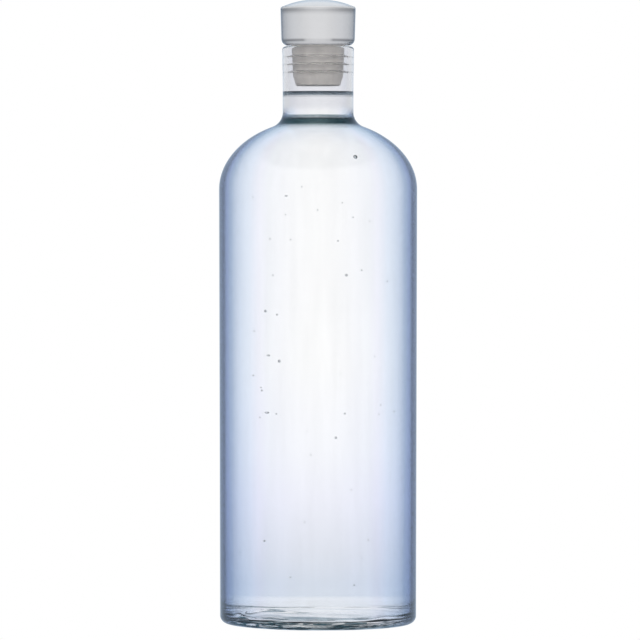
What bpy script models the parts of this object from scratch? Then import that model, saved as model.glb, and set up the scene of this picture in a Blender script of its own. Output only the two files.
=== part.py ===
"""A stoppered glass bottle: a thick turned glass shell, and a lift-out stopper made of a clear glass
head bonded into a hollow finned plug. Metres, +Z up. The origin is the centre of the base, on the
floor. Every piece is round about the Z axis, so each one is an outline turned by a Screw modifier."""

import math

import bpy

MM = 0.001

# Clearance between pieces that touch
SEAT_GAP = 0.3 * MM

# Bottle, outside
BODY_RADIUS = 38.1 * MM
BODY_HEIGHT = 167.4 * MM        # floor to the start of the shoulder
BODY_TAPER = 0.35 * MM          # the body draws in by this much from the shoulder to the foot
SHOULDER_RISE = 27.1 * MM       # upright half axis of the elliptical shoulder
NECK_HEIGHT = 27.8 * MM         # top of the shoulder's ellipse to the lip
NECK_RADIUS = 13.6 * MM
ROOT_FILLET = 5.9 * MM          # hollow curve where the neck grows out of the shoulder
LIP_FLARE = 0.2 * MM            # how much wider the fire-polished lip is than the neck
LIP_FLARE_LENGTH = 12.0 * MM
BASE_CORNER = 3.1 * MM
FOOT_WIDTH = 9.0 * MM           # flat ring that the bottle stands on
PUNT_DEPTH = 2.4 * MM           # push-up inside that ring

# Bottle, inside
BODY_WALL = 2.0 * MM
NECK_WALL = 1.9 * MM
BASE_THICKNESS = 3.4 * MM
INNER_ROOT_FILLET = 7.5 * MM
INNER_BASE_CORNER = 6.0 * MM
LIP_INNER_ROUND = 0.7 * MM
LIP_LAND = 0.1 * MM             # flat left between the lip's inner and outer rounds

# Stopper plug
PLUG_ANNULUS = 1.5 * MM         # free width between the bore and the top of the core
PLUG_COLLAR = 1.0 * MM          # the plug's rim stands this far up into the head
PLUG_WALL = 3.0 * MM
PLUG_FLOOR = 3.4 * MM
PLUG_TAPER = 0.6 * MM           # the core draws in by this much down to the lead-in
LEAD_IN_LENGTH = 3.8 * MM
LEAD_IN_TAPER = 0.9 * MM
TOE_ROUND = 0.9 * MM
SOCKET_LEAD_IN = 0.5 * MM
FIN_COUNT = 3
FIRST_FIN_DEPTH = 3.9 * MM      # from the lip down to the middle of the fin's tip
FIN_PITCH = 2.95 * MM
FIN_ROOT = 0.6 * MM
FIN_TIP = 0.35 * MM
FIN_DROOP = 0.5 * MM            # the tip lies this far below the middle of the root
LAST_FIN_TO_LEAD_IN = 1.6 * MM

# Stopper head
HEAD_OVERHANG = 0.65 * MM       # beyond the lip
HEAD_HEIGHT = 17.8 * MM         # underside to the top of the dome
HEAD_TAPER = 0.35 * MM          # the side draws in by this much towards the neck
HEAD_TOP_ROUND = 1.0 * MM
HEAD_DOME_EDGE_DEG = 23.0       # slope of the domed top where it meets the rounded edge
HEAD_UNDER_ROUND = 2.6 * MM
PEG_LENGTH = 5.6 * MM           # below the head's underside
PEG_CHAMFER = 0.6 * MM

# Facets
TURN_STEPS = 48
SHOULDER_STEPS = 12
ROUND_STEPS = 4
CAP_STEPS = 3
TANGENT_SEARCH_STEPS = 60
WELD_DISTANCE = 0.01 * MM
SHARP_EDGE_DEG = 30

# Sizes and places that follow
LIP_HEIGHT = BODY_HEIGHT + SHOULDER_RISE + NECK_HEIGHT
LIP_RADIUS = NECK_RADIUS + LIP_FLARE
BORE_RADIUS = NECK_RADIUS - NECK_WALL
LIP_OUTER_ROUND = LIP_RADIUS - BORE_RADIUS - LIP_INNER_ROUND - LIP_LAND
INNER_RADIUS = BODY_RADIUS - BODY_WALL
FOOT_RADIUS = BODY_RADIUS - BODY_TAPER
CORE_RADIUS = BORE_RADIUS - PLUG_ANNULUS
SOCKET_RADIUS = CORE_RADIUS - PLUG_WALL
PEG_RADIUS = SOCKET_RADIUS - SEAT_GAP
RECESS_RADIUS = CORE_RADIUS + SEAT_GAP
RECESS_DEPTH = PLUG_COLLAR + SEAT_GAP
HEAD_RADIUS = LIP_RADIUS + HEAD_OVERHANG
HEAD_FOOT_RADIUS = HEAD_RADIUS - HEAD_TAPER


def clear_scene():
    for obj in list(bpy.data.objects):
        bpy.data.objects.remove(obj, do_unlink=True)


def arc(centre_r, centre_z, radius, start_deg, end_deg):
    """Points of an arc in the (r, z) half plane, both ends included."""
    points = []
    for i in range(ROUND_STEPS + 1):
        angle = math.radians(start_deg + (end_deg - start_deg) * i / ROUND_STEPS)
        points.append((centre_r + radius * math.cos(angle), centre_z + radius * math.sin(angle)))
    return points


def crown(rim_r, rim_z, rise):
    """Points of a shallow spherical crown from its rim to the axis, without the rim point."""
    sphere = (rim_r ** 2 + rise ** 2) / (2 * rise)
    points = []
    for i in range(1, CAP_STEPS + 1):
        r = rim_r * (1 - i / CAP_STEPS)
        points.append((r, rim_z + rise - sphere + math.sqrt(sphere ** 2 - r ** 2)))
    return points


def ellipse_point(half_r, half_z, centre_z, angle):
    return half_r * math.cos(angle), centre_z + half_z * math.sin(angle)


def fillet_on_ellipse(half_r, half_z, centre_z, fillet, angle):
    """Centre of a fillet circle that touches the ellipse from outside at this angle, and the
    direction in degrees from that centre to the touching point."""
    r, z = ellipse_point(half_r, half_z, centre_z, angle)
    normal_r = half_z * math.cos(angle)
    normal_z = half_r * math.sin(angle)
    length = math.hypot(normal_r, normal_z)
    fillet_r = r + fillet * normal_r / length
    fillet_z = z + fillet * normal_z / length
    return fillet_r, fillet_z, math.degrees(math.atan2(-normal_z, -normal_r))


def shoulder(half_r, half_z, tube_radius, fillet):
    """Outline from the neck's tube, round its root fillet and down the elliptical shoulder to the
    body, from the top. The angle where the fillet meets the ellipse is found by halving."""
    low = 0.0
    high = math.pi / 2
    for _ in range(TANGENT_SEARCH_STEPS):
        angle = (low + high) / 2
        fillet_r, fillet_z, touching_deg = fillet_on_ellipse(half_r, half_z, BODY_HEIGHT, fillet, angle)
        if fillet_r > tube_radius + fillet:
            low = angle
        else:
            high = angle
    points = arc(fillet_r, fillet_z, fillet, -180, touching_deg)
    for i in range(1, SHOULDER_STEPS + 1):
        share = 1 - i / SHOULDER_STEPS
        points.append(ellipse_point(half_r, half_z, BODY_HEIGHT, angle * share))
    return points


def bottle_outline():
    """Inner floor, inner wall, lip, outer wall, foot and punt, in one line from axis to axis."""
    floor_rim = FOOT_RADIUS - BODY_WALL - INNER_BASE_CORNER
    inner = crown(floor_rim, BASE_THICKNESS, PUNT_DEPTH)[::-1]
    inner += arc(floor_rim, BASE_THICKNESS + INNER_BASE_CORNER, INNER_BASE_CORNER, -90, 0)
    inner += shoulder(INNER_RADIUS, SHOULDER_RISE - BODY_WALL, BORE_RADIUS, INNER_ROOT_FILLET)[::-1]

    lip = arc(BORE_RADIUS + LIP_INNER_ROUND, LIP_HEIGHT - LIP_INNER_ROUND, LIP_INNER_ROUND, 180, 90)
    lip += arc(LIP_RADIUS - LIP_OUTER_ROUND, LIP_HEIGHT - LIP_OUTER_ROUND, LIP_OUTER_ROUND, 90, 0)

    outer = [(NECK_RADIUS, LIP_HEIGHT - LIP_FLARE_LENGTH)]
    outer += shoulder(BODY_RADIUS, SHOULDER_RISE, NECK_RADIUS, ROOT_FILLET)
    outer += arc(FOOT_RADIUS - BASE_CORNER, BASE_CORNER, BASE_CORNER, 0, -90)
    punt_rim = FOOT_RADIUS - BASE_CORNER - FOOT_WIDTH
    outer += [(punt_rim, 0.0)]
    outer += crown(punt_rim, 0.0, PUNT_DEPTH)
    return inner + lip + outer


def head_outline():
    """The knob, and under it the recess for the plug's collar and the peg for the plug's socket.
    Height zero is the head's underside, which sits on the lip."""
    slope = math.radians(HEAD_DOME_EDGE_DEG)
    round_r = HEAD_RADIUS - HEAD_TOP_ROUND
    dome_rim = round_r + HEAD_TOP_ROUND * math.sin(slope)
    dome_rise = dome_rim * math.tan(slope / 2)
    round_z = HEAD_HEIGHT - dome_rise - HEAD_TOP_ROUND * math.cos(slope)
    points = crown(dome_rim, HEAD_HEIGHT - dome_rise, dome_rise)[::-1]
    points += arc(round_r, round_z, HEAD_TOP_ROUND, 90 - HEAD_DOME_EDGE_DEG, 0)
    points += arc(HEAD_FOOT_RADIUS - HEAD_UNDER_ROUND, HEAD_UNDER_ROUND, HEAD_UNDER_ROUND, 0, -90)
    points += [
        (RECESS_RADIUS, 0.0),
        (RECESS_RADIUS, RECESS_DEPTH),
        (PEG_RADIUS, RECESS_DEPTH),
        (PEG_RADIUS, PEG_CHAMFER - PEG_LENGTH),
        (PEG_RADIUS - PEG_CHAMFER, -PEG_LENGTH),
        (0.0, -PEG_LENGTH),
    ]
    return points


def fin(tip_z, core_radius):
    """One sealing fin of the plug, from the top of its root round its tip."""
    tip_radius = BORE_RADIUS - SEAT_GAP
    root_z = tip_z + FIN_DROOP
    return [
        (core_radius, root_z + FIN_ROOT / 2),
        (tip_radius, tip_z + FIN_TIP / 2),
        (tip_radius, tip_z - FIN_TIP / 2),
        (core_radius, root_z - FIN_ROOT / 2),
    ]


def plug_outline():
    """Socket for the peg, collar, fins, lead-in and rounded toe, from axis to axis. Height zero is
    the head's underside."""
    first_fin_z = -SEAT_GAP - FIRST_FIN_DEPTH
    fin_heights = [first_fin_z - i * FIN_PITCH for i in range(FIN_COUNT)]
    lead_in_z = fin_heights[-1] - LAST_FIN_TO_LEAD_IN
    toe_z = lead_in_z - LEAD_IN_LENGTH
    lead_in_radius = CORE_RADIUS - PLUG_TAPER
    toe_radius = lead_in_radius - LEAD_IN_TAPER

    points = [
        (0.0, toe_z + PLUG_FLOOR),
        (SOCKET_RADIUS, toe_z + PLUG_FLOOR),
        (SOCKET_RADIUS, PLUG_COLLAR - SOCKET_LEAD_IN),
        (SOCKET_RADIUS + SOCKET_LEAD_IN, PLUG_COLLAR),
        (CORE_RADIUS, PLUG_COLLAR),
    ]
    for tip_z in fin_heights:
        points += fin(tip_z, CORE_RADIUS - PLUG_TAPER * tip_z / lead_in_z)
    points += [(lead_in_radius, lead_in_z)]
    points += arc(toe_radius - TOE_ROUND, toe_z + TOE_ROUND, TOE_ROUND, 0, -90)
    points += [(0.0, toe_z)]
    return points


def material(name, colour, roughness, transmission, ior):
    """A Principled BSDF with no metal in it."""
    made = bpy.data.materials.new(name)
    made.use_nodes = True
    shader = made.node_tree.nodes["Principled BSDF"]
    shader.inputs["Base Color"].default_value = (*colour, 1.0)
    shader.inputs["Metallic"].default_value = 0.0
    shader.inputs["Roughness"].default_value = roughness
    shader.inputs["Transmission Weight"].default_value = transmission
    shader.inputs["IOR"].default_value = ior
    return made


def turned(name, outline, surface, collection):
    """A solid of revolution about its object's own Z axis, with its creases kept sharp."""
    mesh = bpy.data.meshes.new(name)
    edges = [(i, i + 1) for i in range(len(outline) - 1)]
    mesh.from_pydata([(r, 0.0, z) for r, z in outline], edges, [])
    mesh.materials.append(surface)
    obj = bpy.data.objects.new(name, mesh)
    collection.objects.link(obj)
    screw = obj.modifiers.new("turn", "SCREW")
    screw.axis = "Z"
    screw.angle = 2 * math.pi
    screw.steps = TURN_STEPS
    screw.render_steps = TURN_STEPS
    screw.use_merge_vertices = True
    screw.merge_threshold = WELD_DISTANCE

    # The turned surface becomes the object's mesh, so that its edges can be marked.
    evaluated = obj.evaluated_get(bpy.context.evaluated_depsgraph_get())
    obj.data = bpy.data.meshes.new_from_object(evaluated)
    obj.modifiers.clear()
    bpy.data.meshes.remove(mesh)
    obj.data.name = name
    obj.data.shade_smooth()
    obj.data.set_sharp_from_angle(angle=math.radians(SHARP_EDGE_DEG))
    return obj


def make_bottle(collection):
    glass = material("bottle_glass", (0.90, 0.95, 0.96), roughness=0.02, transmission=1.0, ior=1.52)
    turned("bottle", bottle_outline(), glass, collection)


def make_stopper(collection):
    """Head and plug hang from an empty on the lift axis, at the height of the head's underside."""
    lift_axis = bpy.data.objects.new("stopper_lift_axis", None)
    lift_axis.location = (0.0, 0.0, LIP_HEIGHT + SEAT_GAP)
    collection.objects.link(lift_axis)

    glass = material("head_glass", (0.95, 0.96, 0.97), roughness=0.02, transmission=1.0, ior=1.52)
    head = turned("stopper_head", head_outline(), glass, collection)
    head.parent = lift_axis

    polymer = material("plug_polymer", (0.62, 0.61, 0.58), roughness=0.45, transmission=0.35, ior=1.41)
    plug = turned("stopper_plug", plug_outline(), polymer, collection)
    plug.parent = lift_axis


def main():
    clear_scene()
    parts = bpy.data.collections.new("glass_bottle")
    bpy.context.scene.collection.children.link(parts)
    make_bottle(parts)
    make_stopper(parts)


main()
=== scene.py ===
import math
import random

import bmesh
import bpy
from mathutils import Matrix, Vector, noise

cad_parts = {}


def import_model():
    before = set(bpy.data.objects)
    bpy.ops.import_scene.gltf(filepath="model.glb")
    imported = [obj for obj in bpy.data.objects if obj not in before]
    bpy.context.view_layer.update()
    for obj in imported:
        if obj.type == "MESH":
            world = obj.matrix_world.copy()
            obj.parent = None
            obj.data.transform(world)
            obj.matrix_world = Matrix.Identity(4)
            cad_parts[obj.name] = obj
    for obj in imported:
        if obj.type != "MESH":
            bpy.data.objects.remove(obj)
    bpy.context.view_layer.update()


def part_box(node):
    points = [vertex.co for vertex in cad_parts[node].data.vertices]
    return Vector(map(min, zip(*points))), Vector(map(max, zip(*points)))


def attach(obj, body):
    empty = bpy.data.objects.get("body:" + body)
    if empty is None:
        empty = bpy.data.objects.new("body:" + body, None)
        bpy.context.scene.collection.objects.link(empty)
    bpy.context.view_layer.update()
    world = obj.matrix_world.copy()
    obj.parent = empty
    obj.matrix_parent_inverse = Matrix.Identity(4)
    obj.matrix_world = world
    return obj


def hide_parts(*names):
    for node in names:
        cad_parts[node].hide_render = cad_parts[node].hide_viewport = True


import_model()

MM = 0.001

# The photograph: a frame of 640 pixels, and where the bottle's axis, foot and eye level are in it
PHOTO_PX = 640
PHOTO_AXIS_X = 318.1
PHOTO_BASE_Y = 624.0
PHOTO_EYE_Y = 195.0
PIXEL = 0.385 * MM               # size of a pixel on the bottle's axis
EYE_HEIGHT = (PHOTO_BASE_Y - PHOTO_EYE_Y) * PIXEL
CAMERA_DISTANCE = 2080 * MM
CAMERA_REACH = 100.0             # how far it sees, in metres
SENSOR_WIDTH = 36.0              # millimetres on the camera's own scale

# Sizes read from the CAD frame
_, BOTTLE_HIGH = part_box("bottle")
_, HEAD_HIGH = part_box("stopper_head")
PLUG_LOW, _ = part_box("stopper_plug")
BODY_RADIUS = BOTTLE_HIGH.x
LIP_HEIGHT = BOTTLE_HIGH.z
HEAD_RADIUS = HEAD_HIGH.x
HEAD_TOP = HEAD_HIGH.z
TOE_HEIGHT = PLUG_LOW.z

# Bottle, as in the CAD
BODY_HEIGHT = 167.4 * MM
BODY_TAPER = 0.35 * MM
SHOULDER_RISE = 27.1 * MM
NECK_RADIUS = 13.6 * MM
ROOT_FILLET = 5.9 * MM
LIP_FLARE = 0.2 * MM
LIP_FLARE_LENGTH = 12.0 * MM
BASE_CORNER = 3.1 * MM
FOOT_WIDTH = 9.0 * MM
PUNT_DEPTH = 2.4 * MM
BODY_WALL = 2.0 * MM
NECK_WALL = 1.9 * MM
BASE_THICKNESS = 3.4 * MM
INNER_ROOT_FILLET = 7.5 * MM
INNER_BASE_CORNER = 6.0 * MM
LIP_INNER_ROUND = 0.7 * MM
LIP_LAND = 0.1 * MM
SHOULDER_TOP = BODY_HEIGHT + SHOULDER_RISE
BORE_RADIUS = NECK_RADIUS - NECK_WALL
INNER_RADIUS = BODY_RADIUS - BODY_WALL
LIP_RADIUS = NECK_RADIUS + LIP_FLARE
FOOT_RADIUS = BODY_RADIUS - BODY_TAPER
PUNT_RADIUS = FOOT_RADIUS - BASE_CORNER - FOOT_WIDTH
FLOOR_RIM = FOOT_RADIUS - BODY_WALL - INNER_BASE_CORNER

# Stopper, as in the CAD
SEAT_GAP = 0.3 * MM
SEAT_HEIGHT = LIP_HEIGHT + SEAT_GAP
CORE_RADIUS = 10.2 * MM
COLLAR = 1.0 * MM
PLUG_WALL = 3.0 * MM
PLUG_FLOOR = 3.4 * MM
PLUG_TAPER = 0.6 * MM
LEAD_IN_LENGTH = 3.8 * MM
LEAD_IN_TAPER = 0.9 * MM
TOE_ROUND = 0.9 * MM
SOCKET_LEAD_IN = 0.5 * MM
FIN_COUNT = 3
FIRST_FIN_DEPTH = 3.9 * MM
FIN_PITCH = 2.95 * MM
FIN_ROOT = 0.6 * MM
FIN_TIP = 0.35 * MM
FIN_DROOP = 0.5 * MM
HEAD_TAPER = 0.35 * MM
HEAD_TOP_ROUND = 1.0 * MM
HEAD_DOME_EDGE_DEG = 23.0
HEAD_UNDER_ROUND = 2.6 * MM
PEG_LENGTH = 5.6 * MM
PEG_CHAMFER = 0.6 * MM

# Fins, in the scene alone
FIN_BITE = 0.03 * MM             # the soft fin tips press this far into the bore
FIN_BEND = 0.2 * MM              # and the bore bends them down this far
FIN_SUNK = 0.05 * MM             # how far a fin's root lies inside the core

# Liquid
FILL_HEIGHT = 203.3 * MM
FILM = 0.04 * MM                 # the liquid's skin lies this far inside the glass, so no air is left
CAPILLARY = 1.2 * MM             # capillary length of the liquid, which sets its meniscus

# Hand-made unevenness of the glass
FLOOR_LUMPS = 0.3 * MM           # lumps in the inner floor and in the punt
SMALL_LUMPS = 0.35               # share of smaller lumps on them
PUNT_LUMPS = 0.5                 # share of the floor's lumps that the punt has
PUNT_FADE = 4.0 * MM             # width over which the punt's lumps die out at its rim
WALL_WAVES = 0.16 * MM           # waves in the inner wall
WAVE_WIDTH = 13.0 * MM
WAVE_LENGTH = 45.0 * MM
FOOT_WAVES = 0.12 * MM           # how far the foot stands off the floor in places
FOOT_LIFT_LEFT = 1.6             # and this many times more on its left
FOOT_LIFT_PLACE = (-12.0 * MM, -34.0 * MM)
FOOT_FADE = 6.0 * MM             # height over which that dies out
FLOOR_ENDS = (8.0 * MM, 14.0 * MM)       # heights between which the floor's lumps die out
WALL_STARTS = (6.0 * MM, 14.0 * MM)      # and the wall's waves begin
WALL_ENDS = (175.0 * MM, 190.0 * MM)     # and end

# Noise behind the lumps: its size from left to right and from front to back, and the slice of it used
BIG_LUMP = (18.0 * MM, 9.0 * MM, 3.1)
SMALL_LUMP = (8.0 * MM, 5.0 * MM, 8.7)
PUNT_LUMP = (14.0 * MM, 9.0 * MM, 21.4)
FOOT_WAVE = (20.0 * MM, 20.0 * MM, 5.5)

# Fold of glass that runs across the inner floor, with a hook in it on the left
FOLD_HEIGHT = 1.5 * MM
FOLD_WIDTH = 3.0 * MM
FOLD_LINE_Y = -20.0 * MM
FOLD_SLOPE = 0.05
FOLD_LOW = 0.35                  # share of its height that is left on the right
FOLD_FALL = (4.0 * MM, -16.0 * MM)       # it is low right of the first and high left of the second
HOOK_X = -18.0 * MM
HOOK_WIDTH = 7.0 * MM
HOOK_REACH = 10.0 * MM

# Bubbles in the front wall, in millimetres: how far right of the axis and how high they look, and
# their radius
SEEDS = [
    (14.2, 179.6, 0.85), (10.8, 134.3, 0.50), (-20.0, 120.5, 0.50), (-15.6, 119.1, 0.36),
    (-14.8, 101.2, 0.55), (16.6, 136.2, 0.30), (26.2, 132.0, 0.30), (-24.6, 95.7, 0.32),
    (-31.9, 90.5, 0.28), (-21.4, 89.9, 0.36), (-15.9, 80.9, 0.30), (-22.1, 79.5, 0.26),
    (10.2, 81.0, 0.36), (23.8, 84.3, 0.26), (23.1, 80.7, 0.26), (6.8, 71.7, 0.45),
    (21.5, 103.0, 0.24), (-24.7, 164.4, 0.26), (-6.2, 168.3, 0.24), (9.2, 162.2, 0.24),
    (-0.2, 159.4, 0.24), (-12.4, 157.6, 0.24), (13.3, 156.6, 0.24), (-30.1, 151.3, 0.22),
    (-18.3, 148.3, 0.28), (-10.5, 148.0, 0.24), (7.6, 147.5, 0.30), (-17.2, 134.3, 0.28),
    (-2.8, 65.1, 0.28), (-5.1, 39.1, 0.26), (-20.4, 31.9, 0.40), (-29.5, 27.5, 0.26),
    (19.1, 32.2, 0.26), (13.8, 14.8, 0.30), (12.7, 51.6, 0.24),
]
SEED_DEPTH = 1.0 * MM            # below the outer surface
# The others, scattered by dice over the back and the sides, most of them small
OTHER_SEEDS = 70
DICE_SEED = 7
SEED_TURNS_DEG = (-10, 190)
SEED_HEIGHTS = (12, 185)
SMALLEST_SEED = 0.16 * MM
LARGEST_SEED = 0.42 * MM
SEED_SMALLNESS = 3

# Facets
SEGMENTS = 192
ROUND_STEPS = 10
CROWN_STEPS = 24
SHOULDER_STEPS = 40
MENISCUS_STEPS = 48
SEED_ROUNDNESS = 2
RUN_STEP = 4.0 * MM              # longest straight step down a wall
TANGENT_SEARCH_STEPS = 60
SEED_SEARCH_STEPS = 3
ON_AXIS = 1e-7                   # a point nearer to the axis than this lies on it
LIQUID_EDGE_DEG = 60             # a bend sharper than this is an edge
HEAD_EDGE_DEG = 40
PLUG_EDGE_DEG = 30

# Floor and light
FLOOR_HALF = 6.0                 # metres from its middle to each side
FLOOR_DROP = 0.2 * MM            # the floor lies this far under the foot, so the two never coincide
LIT_STRENGTH = 1.05
GLOSS_TINT = (0.44, 0.55, 0.69)  # of what the glass mirrors
FLOOR_SOFT = 1.5                 # strength of the floor's soft light on the matt plug
BOUNCES = 32
GLOSS_BOUNCES = 16

# Glass and polymer
GLASS_IOR = 1.52
LIQUID_IOR = 1.35
POLYMER_IOR = 1.41
FIN_IOR = 1.2                    # lower than the core's, so that the thin fins look clear
FINE_STREAKS = 0.015             # how dark the drawn streaks in the bottle are
STREAKS = 0.03                   # and in the other clear pieces
STREAK_SIZE = 4 * MM
STREAK_STRETCH = (1, 1, 12)
SKIN_SIZE = 14 * MM
SKIN_STRETCH = (1, 1, 2)
SKIN_DEPTH = 0.012 * MM
CLOUD_SIZE = 3 * MM
CLOUD_STRETCH = (1, 1, 3)
GRAIN_SIZE = 0.6 * MM
GRAIN_DETAIL = 4.0
GRAIN_DEPTH = 0.02 * MM
CORE_DARK = (0.64, 0.61, 0.565)
CORE_LIGHT = (0.79, 0.755, 0.70)
CORE_CLEARNESS = 0.35
CORE_ROUGHNESS = 0.45
FIN_DARK = (0.93, 0.92, 0.90)
FIN_LIGHT = (0.98, 0.975, 0.97)
FIN_CLEARNESS = 1.0
FIN_ROUGHNESS = 0.05
NOISE_SPREAD = (0.3, 0.7)        # the noise's low and high ends, where its two colours are pure
WHITE = (1.0, 1.0, 1.0, 1.0)

# Painted shade: dark teal strokes in the corner of the base, where the glass shows the dark floor under the
# bottle
STROKE_SIZE = 2.2 * MM
STROKE_STRETCH = (3, 3, 0.4)
STROKE_DETAIL = 3.0
STROKE_DISTORTION = 0.6
STROKES_LEFT = 0.10              # added to the noise on the left, so there are more of them there
STROKES_RIGHT = -0.06
# Painted shade in the strokes
STROKE_SHADE = [(0.50, 1.0), (0.53, (0.006, 0.025, 0.035))]

# In the tables below, a colour is red, green and blue, or one number for a grey

# Surroundings as they show through the glass, by (height of the direction + 1) / 2
WORLD_BANDS = [
    (0.0, (0.05, 0.08, 0.09)),
    (0.40, (0.10, 0.14, 0.16)),
    (0.49, 1.0),
    (0.84, 1.0),
    (0.89, (0.28, 0.36, 0.40)),
    (0.98, (0.28, 0.36, 0.40)),
    (1.0, 0.6),
]
# Soft light on the matt plug, from the camera's side round to the far side
SOFT_LIGHT = [
    (0.0, (4.3, 4.15, 4.0)),
    (0.12, (3.1, 3.0, 2.9)),
    (0.3, (1.4, 1.37, 1.33)),
    (0.5, (0.7, 0.69, 0.67)),
    (0.8, (1.2, 1.18, 1.16)),
    (1.0, (2.2, 2.15, 2.1)),
]

# Tints by how far a surface turns away from who looks at it: 0 is square on, and 1 is edge on. On the floor
# it is a painted sheen; on the glass the darkening towards the edges is partly its own tint and mostly
# painted shade.
FLOOR_SHEEN = [
    (0.0, (0.93, 0.96, 0.97)),
    (0.10, (0.90, 0.94, 0.96)),
    (0.20, (0.83, 0.89, 0.92)),
    (0.34, (0.78, 0.85, 0.89)),
    (0.42, (0.78, 0.85, 0.89)),
    (0.46, (0.85, 0.90, 0.94)),
    (0.55, (0.95, 0.97, 1.0)),
    (0.65, 1.0),
]
# Painted shade: the body's edges darken to blue-grey and near black, as the glass there shows darker
# surroundings
BODY_TINT_AND_SHADE = [
    (0.0, 0.99),
    (0.08, (0.94, 0.95, 0.99)),
    (0.134, (0.91, 0.935, 0.98)),
    (0.2, (0.85, 0.86, 0.97)),
    (0.286, (0.67, 0.76, 0.92)),
    (0.4, (0.455, 0.56, 0.74)),
    (0.525, (0.155, 0.24, 0.40)),
    (0.608, (0.08, 0.13, 0.30)),
    (0.69, (0.01, 0.015, 0.04)),
    (1.0, (0.002, 0.003, 0.015)),
]
# The neck's grey is partly its own tint and partly painted shade
NECK_TINT_AND_SHADE = [
    (0.0, (0.78, 0.785, 0.82)),
    (0.17, (0.72, 0.725, 0.77)),
    (0.33, (0.62, 0.63, 0.69)),
    (0.45, (0.62, 0.62, 0.64)),
    (0.58, (0.68, 0.68, 0.67)),
    (0.72, (0.80, 0.81, 0.81)),
    (1.0, (0.85, 0.87, 0.89)),
]
# Painted shade: a dark teal ring round the neck's root, where the glass shows the shadowed floor under the
# bottle
ROOT_RING_SHADE = [
    (0.0, (0.045, 0.09, 0.095)),
    (0.2, (0.015, 0.045, 0.048)),
    (0.4, (0.004, 0.022, 0.025)),
    (0.6, (0.002, 0.015, 0.018)),
    (1.0, (0.003, 0.01, 0.012)),
]
# Painted shade on what the root's ring mirrors
ROOT_REFLECTION_SHADE = [                   # of what the root mirrors
    (0.0, (0.90, 0.95, 0.95)),
    (0.3, (0.45, 0.60, 0.62)),
    (0.6, (0.10, 0.20, 0.22)),
    (1.0, (0.04, 0.10, 0.11)),
]
# The head's grey is partly its own tint and partly painted shade, near black at its edges
HEAD_TINT_AND_SHADE = [
    (0.0, (0.67, 0.67, 0.68)),
    (0.05, (0.62, 0.62, 0.63)),
    (0.12, (0.575, 0.58, 0.60)),
    (0.23, (0.535, 0.545, 0.57)),
    (0.4, (0.43, 0.44, 0.46)),
    (0.6, (0.25, 0.26, 0.28)),
    (0.76, (0.03, 0.03, 0.04)),
    (1.0, (0.02, 0.02, 0.03)),
]
# Painted shade: a dark line round the rim of the head's top
HEAD_RIM_SHADE = [
    (0.0, (0.50, 0.50, 0.51)),
    (0.08, (0.20, 0.20, 0.205)),
    (0.25, (0.01, 0.01, 0.011)),
    (0.4, 0.0),
]
# Painted shade: a dark line round the foot of the head
HEAD_FOOT_SHADE = [
    (0.0, 0.80),
    (0.05, 0.70),
    (0.09, (0.10, 0.10, 0.105)),
    (0.3, (0.03, 0.03, 0.035)),
    (1.0, (0.01, 0.01, 0.012)),
]
CLEAR_TINT = [(0.0, 0.99), (1.0, (0.95, 0.97, 0.97))]
LIQUID_TINT = [(0.0, 0.99), (1.0, (0.97, 0.98, 0.99))]

# Painted shade by height
# Painted shade: the lower body darker and bluer where the light behind the bottle falls off, easing out by
# 100 mm, and none over the base
BODY_SHADE_BY_HEIGHT = [
    (8.2 * MM, 1.0),
    (9.2 * MM, (0.71, 0.77, 0.86)),
    (14.0 * MM, (0.67, 0.73, 0.83)),
    (28.0 * MM, (0.77, 0.80, 0.88)),
    (48.0 * MM, (0.89, 0.90, 0.98)),
    (67.0 * MM, (0.95, 0.96, 1.0)),
    (100.0 * MM, 1.0),
]
# Painted shade: a dark line along the bottom of the foot
FOOT_SHADE_LINE = [
    (0.0, (0.20, 0.27, 0.30)),
    (0.3 * MM, (0.012, 0.035, 0.045)),
    (1.1 * MM, (0.012, 0.035, 0.045)),
    (1.5 * MM, 1.0),
]
# Painted shade: a dark band on the liquid where its meniscus climbs the wall
MENISCUS_SHADE = [
    (FILL_HEIGHT + 0.2 * MM, 1.0),
    (FILL_HEIGHT + 0.4 * MM, (0.15, 0.18, 0.20)),
]
# Painted shade on the plug's core over its toe
TOE_SHADES = [
    (TOE_HEIGHT + 0.4 * MM, 1.0),
    (TOE_HEIGHT + 0.7 * MM, 0.62),
    (TOE_HEIGHT + 1.0 * MM, 0.9),
    (TOE_HEIGHT + 2.5 * MM, 0.9),
    (TOE_HEIGHT + 3.3 * MM, 1.0),
    (TOE_HEIGHT + 4.5 * MM, 1.0),
    (TOE_HEIGHT + 5.0 * MM, 0.80),
]
# The core is painted lighter round each fin's root, where the fin shades the core seen through it, and
# painted darker over it; these are measured from the root's height
FIN_ROOT_LIGHT_AND_SHADE = [
    (-0.25 * MM, 1.25),
    (0.25 * MM, 1.25),
    (0.4 * MM, 0.80),
]
# Painted shade just over each fin's root, and under the collar
OVER_ROOTS = [(0.7 * MM, 0.86), (0.75 * MM, 0.86), (0.7 * MM, 0.88)]     # from the lowest fin up
UNDER_ROOT = -0.4 * MM           # where the shade under a fin starts to give way to the light
COLLAR_SHADE = (SEAT_HEIGHT - 0.6 * MM, 0.95)
CLEAR_DOME = 3.8 * MM            # above this depth under its top, the head's glass is clear


def band(low, high, fade_below, fade_above):
    """Where a ring shows, by height: in full from low to high, and fading out below and above."""
    return [(low - fade_below, 0.0), (low, 1.0), (high, 1.0), (high + fade_above, 0.0)]


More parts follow.
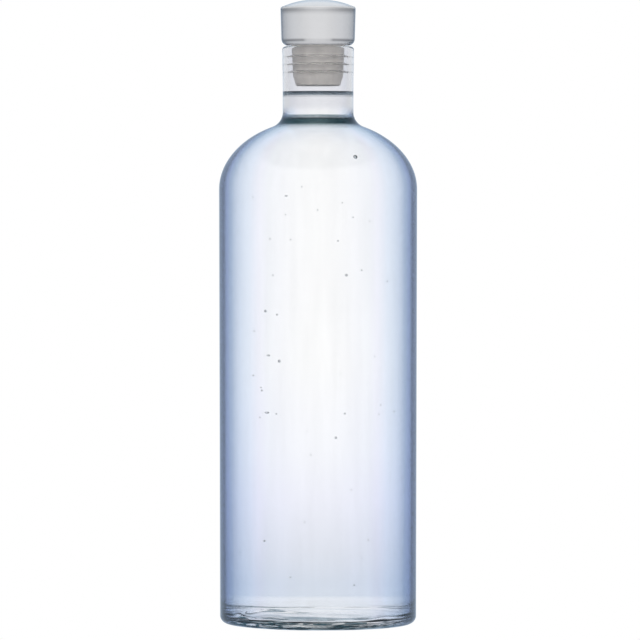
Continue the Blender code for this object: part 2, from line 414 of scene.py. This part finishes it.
# Where tints and painted shade show, by height: 0 is not at all, and 1 is in full
NECK_PLACE = [(SHOULDER_TOP + 1.3 * MM, 0.0), (SHOULDER_TOP + 5.0 * MM, 1.0)]
STROKE_PLACE = [(3.4 * MM, 1.0), (3.9 * MM, 0.0)]
ROOT_RING_SHADE_PLACE = band(SHOULDER_TOP - 2.7 * MM, SHOULDER_TOP, 0.5 * MM, 0.3 * MM)
HEAD_RIM_SHADE_PLACE = band(HEAD_TOP - 4.6 * MM, HEAD_TOP - CLEAR_DOME, 0.15 * MM, 0.15 * MM)
HEAD_FOOT_SHADE_PLACE = band(SEAT_HEIGHT + 1.3 * MM, SEAT_HEIGHT + 1.9 * MM, 0.4 * MM, 0.3 * MM)


def arc(centre_r, centre_z, radius, start_deg, end_deg):
    points = []
    for i in range(ROUND_STEPS + 1):
        angle = math.radians(start_deg + (end_deg - start_deg) * i / ROUND_STEPS)
        points.append((centre_r + radius * math.cos(angle), centre_z + radius * math.sin(angle)))
    return points


def crown(rim_r, rim_z, rise):
    """A shallow spherical crown from its rim to the axis, without the rim point."""
    sphere = (rim_r ** 2 + rise ** 2) / (2 * rise)
    points = []
    for i in range(1, CROWN_STEPS + 1):
        r = rim_r * (1 - i / CROWN_STEPS)
        points.append((r, rim_z + rise - sphere + math.sqrt(sphere ** 2 - r ** 2)))
    return points


def stepped(points):
    """The same outline with its long runs cut into short ones."""
    out = [points[0]]
    for (r0, z0), (r1, z1) in zip(points, points[1:]):
        count = max(1, math.ceil(math.hypot(r1 - r0, z1 - z0) / RUN_STEP))
        for i in range(1, count + 1):
            out.append((r0 + (r1 - r0) * i / count, z0 + (z1 - z0) * i / count))
    return out


def fillet_on_ellipse(half_r, half_z, fillet, angle):
    """Centre of a fillet that touches the shoulder's ellipse there, and the direction it touches in."""
    r = half_r * math.cos(angle)
    z = BODY_HEIGHT + half_z * math.sin(angle)
    normal_r = half_z * math.cos(angle)
    normal_z = half_r * math.sin(angle)
    length = math.hypot(normal_r, normal_z)
    touching_deg = math.degrees(math.atan2(-normal_z, -normal_r))
    return r + fillet * normal_r / length, z + fillet * normal_z / length, touching_deg


def shoulder(half_r, half_z, tube_radius, fillet):
    """From the neck's tube round the root fillet and down the elliptical shoulder to the body."""
    low = 0.0
    high = math.pi / 2
    for _ in range(TANGENT_SEARCH_STEPS):
        angle = (low + high) / 2
        fillet_r, fillet_z, touching_deg = fillet_on_ellipse(half_r, half_z, fillet, angle)
        if fillet_r > tube_radius + fillet:
            low = angle
        else:
            high = angle
    points = arc(fillet_r, fillet_z, fillet, -180, touching_deg)
    for i in range(1, SHOULDER_STEPS + 1):
        t = angle * (1 - i / SHOULDER_STEPS)
        points.append((half_r * math.cos(t), BODY_HEIGHT + half_z * math.sin(t)))
    return points


def inner_wall():
    """Inside of the bottle from the centre of its floor up to the lip."""
    points = crown(FLOOR_RIM, BASE_THICKNESS, PUNT_DEPTH)[::-1]
    points += arc(FLOOR_RIM, BASE_THICKNESS + INNER_BASE_CORNER, INNER_BASE_CORNER, -90, 0)
    points += shoulder(INNER_RADIUS, SHOULDER_RISE - BODY_WALL, BORE_RADIUS, INNER_ROOT_FILLET)[::-1]
    points += [(BORE_RADIUS, LIP_HEIGHT - LIP_INNER_ROUND)]
    return stepped(points)


def outer_wall():
    """Lip, outer wall, foot and punt, from the top of the bore round to the axis."""
    outer_round = LIP_RADIUS - BORE_RADIUS - LIP_INNER_ROUND - LIP_LAND
    points = arc(BORE_RADIUS + LIP_INNER_ROUND, LIP_HEIGHT - LIP_INNER_ROUND, LIP_INNER_ROUND, 180, 90)
    points += arc(LIP_RADIUS - outer_round, LIP_HEIGHT - outer_round, outer_round, 90, 0)
    points += [(NECK_RADIUS, LIP_HEIGHT - LIP_FLARE_LENGTH)]
    points += shoulder(BODY_RADIUS, SHOULDER_RISE, NECK_RADIUS, ROOT_FILLET)
    points += arc(FOOT_RADIUS - BASE_CORNER, BASE_CORNER, BASE_CORNER, 0, -90)
    points += [(PUNT_RADIUS, 0.0)]
    points += crown(PUNT_RADIUS, 0.0, PUNT_DEPTH)
    return stepped(points)


def head_outline():
    """The knob, and under it the recess for the plug's collar and the peg for its socket."""
    slope = math.radians(HEAD_DOME_EDGE_DEG)
    round_r = HEAD_RADIUS - HEAD_TOP_ROUND
    dome_rim = round_r + HEAD_TOP_ROUND * math.sin(slope)
    dome_rise = dome_rim * math.tan(slope / 2)
    round_z = HEAD_TOP - dome_rise - HEAD_TOP_ROUND * math.cos(slope)
    foot_radius = HEAD_RADIUS - HEAD_TAPER
    recess_radius = CORE_RADIUS + SEAT_GAP
    peg_radius = CORE_RADIUS - PLUG_WALL - SEAT_GAP
    points = crown(dome_rim, HEAD_TOP - dome_rise, dome_rise)[::-1]
    points += arc(round_r, round_z, HEAD_TOP_ROUND, 90 - HEAD_DOME_EDGE_DEG, 0)
    points += arc(foot_radius - HEAD_UNDER_ROUND, SEAT_HEIGHT + HEAD_UNDER_ROUND, HEAD_UNDER_ROUND, 0, -90)
    points += [
        (recess_radius, SEAT_HEIGHT),
        (recess_radius, SEAT_HEIGHT + COLLAR + SEAT_GAP),
        (peg_radius, SEAT_HEIGHT + COLLAR + SEAT_GAP),
        (peg_radius, SEAT_HEIGHT + PEG_CHAMFER - PEG_LENGTH),
        (peg_radius - PEG_CHAMFER, SEAT_HEIGHT - PEG_LENGTH),
        (0.0, SEAT_HEIGHT - PEG_LENGTH),
    ]
    return points


def plug_outline():
    """The plug's core, without its fins."""
    socket_radius = CORE_RADIUS - PLUG_WALL
    lead_in_radius = CORE_RADIUS - PLUG_TAPER
    toe_radius = lead_in_radius - LEAD_IN_TAPER
    points = [
        (0.0, TOE_HEIGHT + PLUG_FLOOR),
        (socket_radius, TOE_HEIGHT + PLUG_FLOOR),
        (socket_radius, SEAT_HEIGHT + COLLAR - SOCKET_LEAD_IN),
        (socket_radius + SOCKET_LEAD_IN, SEAT_HEIGHT + COLLAR),
        (CORE_RADIUS, SEAT_HEIGHT + COLLAR),
        (CORE_RADIUS, SEAT_HEIGHT),
        (lead_in_radius, TOE_HEIGHT + LEAD_IN_LENGTH),
    ]
    points += arc(toe_radius - TOE_ROUND, TOE_HEIGHT + TOE_ROUND, TOE_ROUND, 0, -90)
    points += [(0.0, TOE_HEIGHT)]
    return points


def fin_tips():
    """Heights of the fins' tips in the CAD, from the top one down."""
    return [LIP_HEIGHT - FIRST_FIN_DEPTH - i * FIN_PITCH for i in range(FIN_COUNT)]


def fin_outlines():
    """Closed outlines of the fins, each from its root's top round its tip."""
    tip_radius = BORE_RADIUS + FIN_BITE
    lead_in_z = TOE_HEIGHT + LEAD_IN_LENGTH
    outlines = []
    for tip_z in fin_tips():
        root_z = tip_z + FIN_DROOP
        core = CORE_RADIUS - PLUG_TAPER * (SEAT_HEIGHT - tip_z) / (SEAT_HEIGHT - lead_in_z)
        outlines.append([
            (core - FIN_SUNK, root_z + FIN_ROOT / 2),
            (tip_radius, tip_z - FIN_BEND + FIN_TIP / 2),
            (tip_radius, tip_z - FIN_BEND - FIN_TIP / 2),
            (core - FIN_SUNK, root_z - FIN_ROOT / 2),
        ])
    return outlines


def meniscus():
    """The liquid's surface from the axis out to the wall, which it wets. Its slope and height follow
    the curve of a still liquid against a flat wall."""
    wall_climb = math.sqrt(2.0)
    lowest = 0.004
    offset = math.sqrt(4 - wall_climb ** 2) - math.acosh(2 / wall_climb)
    points = []
    for i in range(MENISCUS_STEPS + 1):
        climb = lowest * (wall_climb / lowest) ** (i / MENISCUS_STEPS)
        from_wall = math.acosh(2 / climb) - math.sqrt(4 - climb ** 2) + offset
        r = BORE_RADIUS + FILM - from_wall * CAPILLARY
        if r > 0:
            points.append((r, FILL_HEIGHT + climb * CAPILLARY))
    return [(0.0, points[0][1])] + points


def liquid_outline():
    """Surface with its meniscus, then down the wet wall to the centre of the floor."""
    wet = [(r + FILM, z - FILM) if z < BODY_HEIGHT else (r + FILM, z) for r, z in inner_wall()]
    wet[0] = (0.0, wet[0][1])
    top = meniscus()
    wall = [p for p in wet if p[1] < top[-1][1]]
    return top + wall[::-1]


def smooth_step(low, high, value):
    """From 0 at low to 1 at high, level at both ends. High may be the lesser of the two."""
    share = min(1.0, max(0.0, (value - low) / (high - low)))
    return share * share * (3 - 2 * share)


def lumps(x, y, kind):
    across, deep, part = kind
    return noise.noise(Vector((x / across, y / deep, part)))


def fold(x, y):
    """Height of the fold there: high and hooked on the left, and low on the right."""
    hook = HOOK_REACH * math.exp(-((x - HOOK_X) / HOOK_WIDTH) ** 2)
    line = FOLD_LINE_Y + hook - FOLD_SLOPE * x
    height = FOLD_HEIGHT * (FOLD_LOW + (1 - FOLD_LOW) * smooth_step(*FOLD_FALL, x))
    return height * math.exp(-((y - line) / FOLD_WIDTH) ** 2)


def unmoved(r, z, a):
    return r, z


def uneven_inside(r, z, a):
    """Lumps and a fold in the floor, waves in the wall, nothing in the neck."""
    x = r * math.cos(a)
    y = r * math.sin(a)
    raised = FLOOR_LUMPS * (lumps(x, y, BIG_LUMP) + SMALL_LUMPS * lumps(x, y, SMALL_LUMP)) + fold(x, y)
    inward = 1 - smooth_step(FLOOR_RIM, FLOOR_RIM + INNER_BASE_CORNER, r)
    on_floor = inward * (1 - smooth_step(*FLOOR_ENDS, z))
    wave = noise.noise(Vector((x / WAVE_WIDTH, y / WAVE_WIDTH, z / WAVE_LENGTH)))
    on_wall = smooth_step(*WALL_STARTS, z) * (1 - smooth_step(*WALL_ENDS, z))
    return r + WALL_WAVES * wave * on_wall, z + raised * on_floor


def uneven_outside(r, z, a):
    """Lumps in the punt and a foot that isn't quite flat."""
    x = r * math.cos(a)
    y = r * math.sin(a)
    raised = FLOOR_LUMPS * PUNT_LUMPS * lumps(x, y, PUNT_LUMP)
    in_punt = 1 - smooth_step(PUNT_RADIUS - PUNT_FADE, PUNT_RADIUS, r)
    lift = 0.5 + 0.5 * lumps(x, y, FOOT_WAVE) + FOOT_LIFT_LEFT * smooth_step(*FOOT_LIFT_PLACE, x)
    near_floor = (1 - smooth_step(0.0, FOOT_FADE, z)) * (1 - in_punt)
    return r, z + raised * in_punt + FOOT_WAVES * lift * near_floor


def added(name, data):
    obj = bpy.data.objects.new(name, data)
    bpy.context.scene.collection.objects.link(obj)
    return obj


def turns():
    return [2 * math.pi * j / SEGMENTS for j in range(SEGMENTS)]


def turned_mesh(name, outline, pushes=None):
    """A closed surface of revolution, and the step of the outline that each of its faces is on. The
    outline starts and ends on the axis, with the solid on the right of its travel. Pushes are one
    function for each point, which may move it at (r, z) and turn angle a."""
    rings = []
    verts = []
    for (r, z), push in zip(outline, pushes or [unmoved] * len(outline)):
        if r < ON_AXIS:
            verts.append((0.0, 0.0, push(r, z, 0.0)[1]))
            rings.append([len(verts) - 1])
            continue
        ring = []
        for a in turns():
            pushed_r, pushed_z = push(r, z, a)
            verts.append((pushed_r * math.cos(a), pushed_r * math.sin(a), pushed_z))
            ring.append(len(verts) - 1)
        rings.append(ring)
    faces = []
    steps = []
    for i, (upper, lower) in enumerate(zip(rings, rings[1:])):
        for j in range(SEGMENTS):
            k = (j + 1) % SEGMENTS
            if len(upper) == 1:
                faces.append((upper[0], lower[j], lower[k]))
            elif len(lower) == 1:
                faces.append((upper[j], lower[0], upper[k]))
            else:
                faces.append((upper[j], lower[j], lower[k], upper[k]))
            steps.append(i)
    mesh = bpy.data.meshes.new(name)
    mesh.from_pydata(verts, [], faces)
    mesh.shade_smooth()
    return added(name, mesh), steps


def add_rings(obj, outlines, material_index):
    """Joins closed rings, turned from closed outlines, to a piece."""
    grown = bmesh.new()
    grown.from_mesh(obj.data)
    for outline in outlines:
        rings = []
        for r, z in outline:
            rings.append([grown.verts.new((r * math.cos(a), r * math.sin(a), z)) for a in turns()])
        for upper, lower in zip(rings, rings[1:] + rings[:1]):
            for j in range(SEGMENTS):
                k = (j + 1) % SEGMENTS
                face = grown.faces.new((upper[j], lower[j], lower[k], upper[k]))
                face.material_index = material_index
                face.smooth = True
    grown.to_mesh(obj.data)
    grown.free()


def surface_at(outline, height):
    """Radius of an outline, going down, at this height."""
    for (r0, z0), (r1, z1) in zip(outline, outline[1:]):
        if z1 <= height <= z0 and z0 > z1:
            return r0 + (r1 - r0) * (z0 - height) / (z0 - z1)
    return 0.0


def seed_places():
    """Centres and radii of the bubbles: the front ones listed, and then the scattered ones."""
    outer = outer_wall()
    places = []
    for right, up, radius in SEEDS:
        z = up * MM
        for _ in range(SEED_SEARCH_STEPS):
            r = surface_at(outer, z) - SEED_DEPTH
            front = math.sqrt(max(0.0, r ** 2 - (right * MM) ** 2))
            z = up * MM - (up * MM - EYE_HEIGHT) * front / CAMERA_DISTANCE
        scale = 1 - front / CAMERA_DISTANCE
        places.append((Vector((right * MM * scale, -front, z)), radius * MM))
    dice = random.Random(DICE_SEED)
    for _ in range(OTHER_SEEDS):
        a = math.radians(dice.uniform(*SEED_TURNS_DEG))
        z = dice.uniform(*SEED_HEIGHTS) * MM
        radius = SMALLEST_SEED + (LARGEST_SEED - SMALLEST_SEED) * dice.random() ** SEED_SMALLNESS
        r = surface_at(outer, z) - SEED_DEPTH
        places.append((Vector((r * math.cos(a), r * math.sin(a), z)), radius))
    return places


def add_seeds(obj, material_index):
    """Joins the bubbles to the glass as small spheres that face inwards."""
    grown = bmesh.new()
    grown.from_mesh(obj.data)
    for centre, radius in seed_places():
        place = Matrix.Translation(centre)
        made = bmesh.ops.create_icosphere(grown, subdivisions=SEED_ROUNDNESS, radius=radius, matrix=place)
        faces = {face for vert in made["verts"] for face in vert.link_faces}
        bmesh.ops.reverse_faces(grown, faces=list(faces))
        for face in faces:
            face.smooth = True
            face.material_index = material_index
    grown.to_mesh(obj.data)
    grown.free()


def feed(tree, node, inputs):
    """Sets a node's inputs, or links them where the value is another node's output."""
    for name, value in inputs.items():
        if isinstance(value, bpy.types.NodeSocket):
            tree.links.new(value, node.inputs[name])
        else:
            node.inputs[name].default_value = value


def add_node(tree, kind, inputs=None, **settings):
    node = tree.nodes.new("ShaderNode" + kind)
    for name, value in settings.items():
        setattr(node, name, value)
    feed(tree, node, inputs or {})
    return node


def new_material(name):
    """A new material, with its node tree and its shader."""
    made = bpy.data.materials.new(name)
    made.use_nodes = True
    return made, made.node_tree, made.node_tree.nodes["Principled BSDF"]


def rgba(colour):
    if isinstance(colour, (int, float)):
        colour = (colour, colour, colour)
    return (*colour, 1.0)


def coloured(tree, stops, amount):
    """The colour that the stops give for this amount."""
    node = add_node(tree, "ValToRGB", {"Fac": amount})
    elements = node.color_ramp.elements
    while len(elements) > 1:
        elements.remove(elements[-1])
    elements[0].position = stops[0][0]
    elements[0].color = rgba(stops[0][1])
    for position, colour in stops[1:]:
        elements.new(position).color = rgba(colour)
    return node.outputs["Color"]


def calculated(tree, operation, first, second):
    return add_node(tree, "Math", {0: first, 1: second}, operation=operation).outputs["Value"]


def mapped(tree, value, low, high, to_low=0.0, to_high=1.0):
    """The value, taken from one range to another."""
    inputs = {"Value": value, "From Min": low, "From Max": high, "To Min": to_low, "To Max": to_high}
    return add_node(tree, "MapRange", inputs).outputs["Result"]


def mixed(tree, share, first, second, blend="MIX"):
    inputs = {"Factor": share, "A": first, "B": second}
    return add_node(tree, "Mix", inputs, data_type="RGBA", blend_type=blend).outputs["Result"]


def multiplied(tree, first, second):
    return mixed(tree, 1.0, first, second, "MULTIPLY")


def object_place(tree):
    """The place on the piece, in metres from the foot of the bottle's axis."""
    return add_node(tree, "TexCoord").outputs["Object"]


def facing(tree, **inputs):
    return add_node(tree, "LayerWeight", {"Blend": 0.5, **inputs}).outputs["Facing"]


def by_facing(tree, stops, round_only=False):
    """Colour by how squarely the surface is looked through: clear face on, deep towards the edges.
    With round_only, a slope up or down doesn't count, only how far round the bottle the place is."""
    amount = facing(tree)
    if round_only:
        flat = add_node(tree, "VectorMath", {0: object_place(tree), 1: (1.0, 1.0, 0.0)}, operation="MULTIPLY")
        outward = add_node(tree, "VectorMath", {0: flat.outputs["Vector"]}, operation="NORMALIZE")
        amount = calculated(tree, "MINIMUM", amount, facing(tree, Normal=outward.outputs["Vector"]))
    return coloured(tree, stops, amount)


def by_height(tree, stops):
    """Colour by the height above the floor."""
    split = add_node(tree, "SeparateXYZ", {"Vector": object_place(tree)})
    shares = [(height / HEAD_TOP, colour) for height, colour in stops]
    return coloured(tree, shares, mapped(tree, split.outputs["Z"], 0.0, HEAD_TOP))


def ring_shade(tree, place, stops):
    """White, but for a ring of painted shade where the wall turns so sharply that the glass looks dark."""
    return mixed(tree, by_height(tree, place), WHITE, by_facing(tree, stops, round_only=True))


def texture_noise(tree, size, stretch=(1, 1, 1), detail=2.0, distortion=0.0):
    """Noise in the piece's own space: size is that of its features, stretch makes them longer."""
    scale = [1 / (size * s) for s in stretch]
    place = add_node(tree, "Mapping", {"Vector": object_place(tree), "Scale": scale})
    inputs = {"Vector": place.outputs["Vector"], "Scale": 1.0, "Detail": detail, "Distortion": distortion}
    return add_node(tree, "TexNoise", inputs).outputs["Fac"]


def between(tree, low, high, amount):
    """A colour between two, by a noise."""
    return coloured(tree, list(zip(NOISE_SPREAD, (low, high))), amount)


def bumped(tree, height, depth):
    return add_node(tree, "Bump", {"Height": height, "Distance": depth}).outputs["Normal"]


def foot_shade_strokes(tree):
    """Painted shade in the base's corner: dark teal strokes, more on the left."""
    split = add_node(tree, "SeparateXYZ", {"Vector": object_place(tree)})
    side = mapped(tree, split.outputs["X"], -BODY_RADIUS, BODY_RADIUS, STROKES_LEFT, STROKES_RIGHT)
    laid = texture_noise(tree, STROKE_SIZE, STROKE_STRETCH, STROKE_DETAIL, STROKE_DISTORTION)
    strokes = coloured(tree, STROKE_SHADE, calculated(tree, "ADD", laid, side))
    return mixed(tree, by_height(tree, STROKE_PLACE), WHITE, strokes)


def finish_glass(tree, shader, colour, streaks, ior):
    """Gives clear glass its tint, with faint drawn streaks and a wavy skin."""
    drawn = texture_noise(tree, STREAK_SIZE, STREAK_STRETCH)
    skin = texture_noise(tree, SKIN_SIZE, SKIN_STRETCH)
    feed(tree, shader, {
        "Base Color": multiplied(tree, colour, between(tree, 1 - streaks, 1.0, drawn)),
        "Normal": bumped(tree, skin, SKIN_DEPTH),
        "Transmission Weight": 1.0,
        "Roughness": 0.0,
        "IOR": ior,
    })


def bottle_outside():
    """The outer wall, mostly painted shade: blue-grey edges and a darker lower body, a greyer neck, a dark
    root and foot, and dark strokes in the base's corner.
    """
    made, tree, shader = new_material("bottle_glass_outside")
    body = multiplied(tree, by_facing(tree, BODY_TINT_AND_SHADE, round_only=True), by_height(tree, BODY_SHADE_BY_HEIGHT))
    neck = by_facing(tree, NECK_TINT_AND_SHADE)
    colour = mixed(tree, by_height(tree, NECK_PLACE), body, neck)
    colour = multiplied(tree, colour, ring_shade(tree, ROOT_RING_SHADE_PLACE, ROOT_RING_SHADE))
    colour = multiplied(tree, colour, by_height(tree, FOOT_SHADE_LINE))
    colour = multiplied(tree, colour, foot_shade_strokes(tree))
    finish_glass(tree, shader, colour, FINE_STREAKS, GLASS_IOR)
    # Painted shade on the reflections in the root's ring
    feed(tree, shader, {"Specular Tint": ring_shade(tree, ROOT_RING_SHADE_PLACE, ROOT_REFLECTION_SHADE)})
    return made


def glass(name, tint, ior=GLASS_IOR, heights=None, rings=()):
    """Clear glass: its tint deepens towards the edges, partly as painted shade, and it may have rings and
    bands of painted shade.
    """
    made, tree, shader = new_material(name)
    colour = by_facing(tree, tint)
    if heights:
        colour = multiplied(tree, colour, by_height(tree, heights))
    for place, ring in rings:
        colour = multiplied(tree, colour, ring_shade(tree, place, ring))
    finish_glass(tree, shader, colour, STREAKS, ior)
    return made


def core_light_and_shade():
    """Painted light and shade on the plug by height: over its toe, round the root of each fin and over it."""
    stops = list(TOE_SHADES)
    for tip_z, over_root in zip(reversed(fin_tips()), OVER_ROOTS):
        shade_below = stops[-1][1]
        around = [(UNDER_ROOT, shade_below), *FIN_ROOT_LIGHT_AND_SHADE, over_root]
        stops += [(tip_z + FIN_DROOP + above, shade) for above, shade in around]
    return stops + [COLLAR_SHADE]


def polymer(name, dark, light, clearness, roughness, ior):
    """Cloudy polymer with a fine grain, and painted light and shade by height."""
    made, tree, shader = new_material(name)
    cloud = between(tree, dark, light, texture_noise(tree, CLOUD_SIZE, CLOUD_STRETCH))
    grain = texture_noise(tree, GRAIN_SIZE, detail=GRAIN_DETAIL)
    feed(tree, shader, {
        "Base Color": multiplied(tree, cloud, by_height(tree, core_light_and_shade())),
        "Normal": bumped(tree, grain, GRAIN_DEPTH),
        "Transmission Weight": clearness,
        "Roughness": roughness,
        "IOR": ior,
    })
    return made


def dimmed_in_gloss(tree, colour):
    """The same colour, but dimmer and bluer where the glass mirrors it than where it's seen through."""
    path = add_node(tree, "LightPath")
    return multiplied(tree, colour, mixed(tree, path.outputs["Is Reflection Ray"], WHITE, rgba(GLOSS_TINT)))


def studio_light(tree, kind, lit_colour, soft_colour):
    """Plain white to the camera. Glass shows the lit colour, and the soft one lights a matt surface."""
    lit = add_node(tree, kind, {"Color": dimmed_in_gloss(tree, lit_colour), "Strength": LIT_STRENGTH})
    seen = add_node(tree, kind, {"Color": WHITE})
    soft = add_node(tree, kind, {"Color": soft_colour})
    path = add_node(tree, "LightPath")
    scattered = calculated(tree, "GREATER_THAN", path.outputs["Diffuse Depth"], 0.5)
    unseen = add_node(tree, "MixShader", {0: scattered, 1: lit.outputs[0], 2: soft.outputs[0]})
    chosen = {0: path.outputs["Is Camera Ray"], 1: unseen.outputs[0], 2: seen.outputs[0]}
    return add_node(tree, "MixShader", chosen).outputs[0]


def world():
    """White walls all round, with dim bands above and below them."""
    made = bpy.data.worlds.new("studio")
    bpy.context.scene.world = made
    made.use_nodes = True
    tree = made.node_tree
    tree.nodes.clear()
    direction = add_node(tree, "TexCoord").outputs["Generated"]
    split = add_node(tree, "SeparateXYZ", {"Vector": direction})
    walls = coloured(tree, WORLD_BANDS, mapped(tree, split.outputs["Z"], -1.0, 1.0))
    around = coloured(tree, SOFT_LIGHT, mapped(tree, split.outputs["Y"], -1.0, 1.0))
    add_node(tree, "OutputWorld", {"Surface": studio_light(tree, "Background", walls, around)})


def floor():
    """A pale floor. Through the glass it is white at low angles, and a little darker from above."""
    mesh = bpy.data.meshes.new("floor")
    corners = [(x * FLOOR_HALF, y * FLOOR_HALF, 0.0) for x, y in ((-1, -1), (1, -1), (1, 1), (-1, 1))]
    mesh.from_pydata(corners, [], [(0, 1, 2, 3)])
    obj = added("floor", mesh)
    obj.location.z = -FLOOR_DROP
    made, tree, _ = new_material("pale_floor")
    tree.nodes.clear()
    light = studio_light(tree, "Emission", by_facing(tree, FLOOR_SHEEN), rgba(FLOOR_SOFT))
    add_node(tree, "OutputMaterial", {"Surface": light})
    obj.data.materials.append(made)


def camera():
    """At eye level with the shoulder, and turned down to the middle of the photograph."""
    data = bpy.data.cameras.new("camera")
    cam = added("camera", data)
    bpy.context.scene.camera = cam
    side = (PHOTO_PX / 2 - PHOTO_AXIS_X) * PIXEL
    aim = Vector((side, 0, (PHOTO_BASE_Y - PHOTO_PX / 2) * PIXEL))
    cam.location = (side, -CAMERA_DISTANCE, EYE_HEIGHT)
    cam.rotation_euler = (aim - cam.location).to_track_quat("-Z", "Y").to_euler()
    data.sensor_width = SENSOR_WIDTH
    data.lens = SENSOR_WIDTH * CAMERA_DISTANCE / (PHOTO_PX * PIXEL)
    data.clip_end = CAMERA_REACH


def bottle():
    inner = inner_wall()[:-1]        # its last point is the lip's first
    outer = outer_wall()
    pushes = [uneven_inside] * len(inner) + [uneven_outside] * len(outer)
    obj, steps = turned_mesh("bottle_glass", inner + outer, pushes)
    obj.data.materials.append(bottle_outside())
    obj.data.materials.append(glass("bottle_glass_inside", CLEAR_TINT))
    for polygon, step in zip(obj.data.polygons, steps):
        polygon.material_index = 1 if step < len(inner) else 0
    add_seeds(obj, 1)
    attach(obj, "bottle")
    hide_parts("bottle")


def liquid():
    outline = liquid_outline()
    still = len(meniscus()) + 1
    pushes = [unmoved] * still + [uneven_inside] * (len(outline) - still)
    obj, _ = turned_mesh("liquid", outline, pushes)
    obj.data.set_sharp_from_angle(angle=math.radians(LIQUID_EDGE_DEG))
    # The liquid gets painted shade in a band along its meniscus
    obj.data.materials.append(glass("clear_liquid", LIQUID_TINT, LIQUID_IOR, heights=MENISCUS_SHADE))
    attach(obj, "bottle")


def stopper_head():
    outline = stepped(head_outline())
    obj, steps = turned_mesh("stopper_head_glass", outline)
    # Rings of painted shade round the rim of the head's top and round its foot
    rim = (HEAD_RIM_SHADE_PLACE, HEAD_RIM_SHADE)
    foot = (HEAD_FOOT_SHADE_PLACE, HEAD_FOOT_SHADE)
    obj.data.materials.append(glass("stopper_glass", HEAD_TINT_AND_SHADE, rings=[rim, foot]))
    obj.data.materials.append(glass("stopper_dome", CLEAR_TINT, rings=[rim]))
    for polygon, step in zip(obj.data.polygons, steps):
        polygon.material_index = 1 if outline[step + 1][1] > HEAD_TOP - CLEAR_DOME else 0
    obj.data.set_sharp_from_angle(angle=math.radians(HEAD_EDGE_DEG))
    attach(obj, "stopper")
    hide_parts("stopper_head")


def stopper_plug():
    """The cloudy core, with fins so thin that they look clear."""
    obj, _ = turned_mesh("stopper_plug_polymer", plug_outline())
    add_rings(obj, fin_outlines(), 1)
    obj.data.set_sharp_from_angle(angle=math.radians(PLUG_EDGE_DEG))
    core = polymer("plug_polymer", CORE_DARK, CORE_LIGHT, CORE_CLEARNESS, CORE_ROUGHNESS, POLYMER_IOR)
    fins = polymer("plug_fins", FIN_DARK, FIN_LIGHT, FIN_CLEARNESS, FIN_ROUGHNESS, FIN_IOR)
    obj.data.materials.append(core)
    obj.data.materials.append(fins)
    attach(obj, "stopper")
    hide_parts("stopper_plug")


scene = bpy.context.scene
scene.view_settings.view_transform = "Standard"
scene.view_settings.look = "None"
scene.cycles.max_bounces = BOUNCES
scene.cycles.transmission_bounces = BOUNCES
scene.cycles.glossy_bounces = GLOSS_BOUNCES

camera()
world()
floor()
bottle()
liquid()
stopper_head()
stopper_plug()
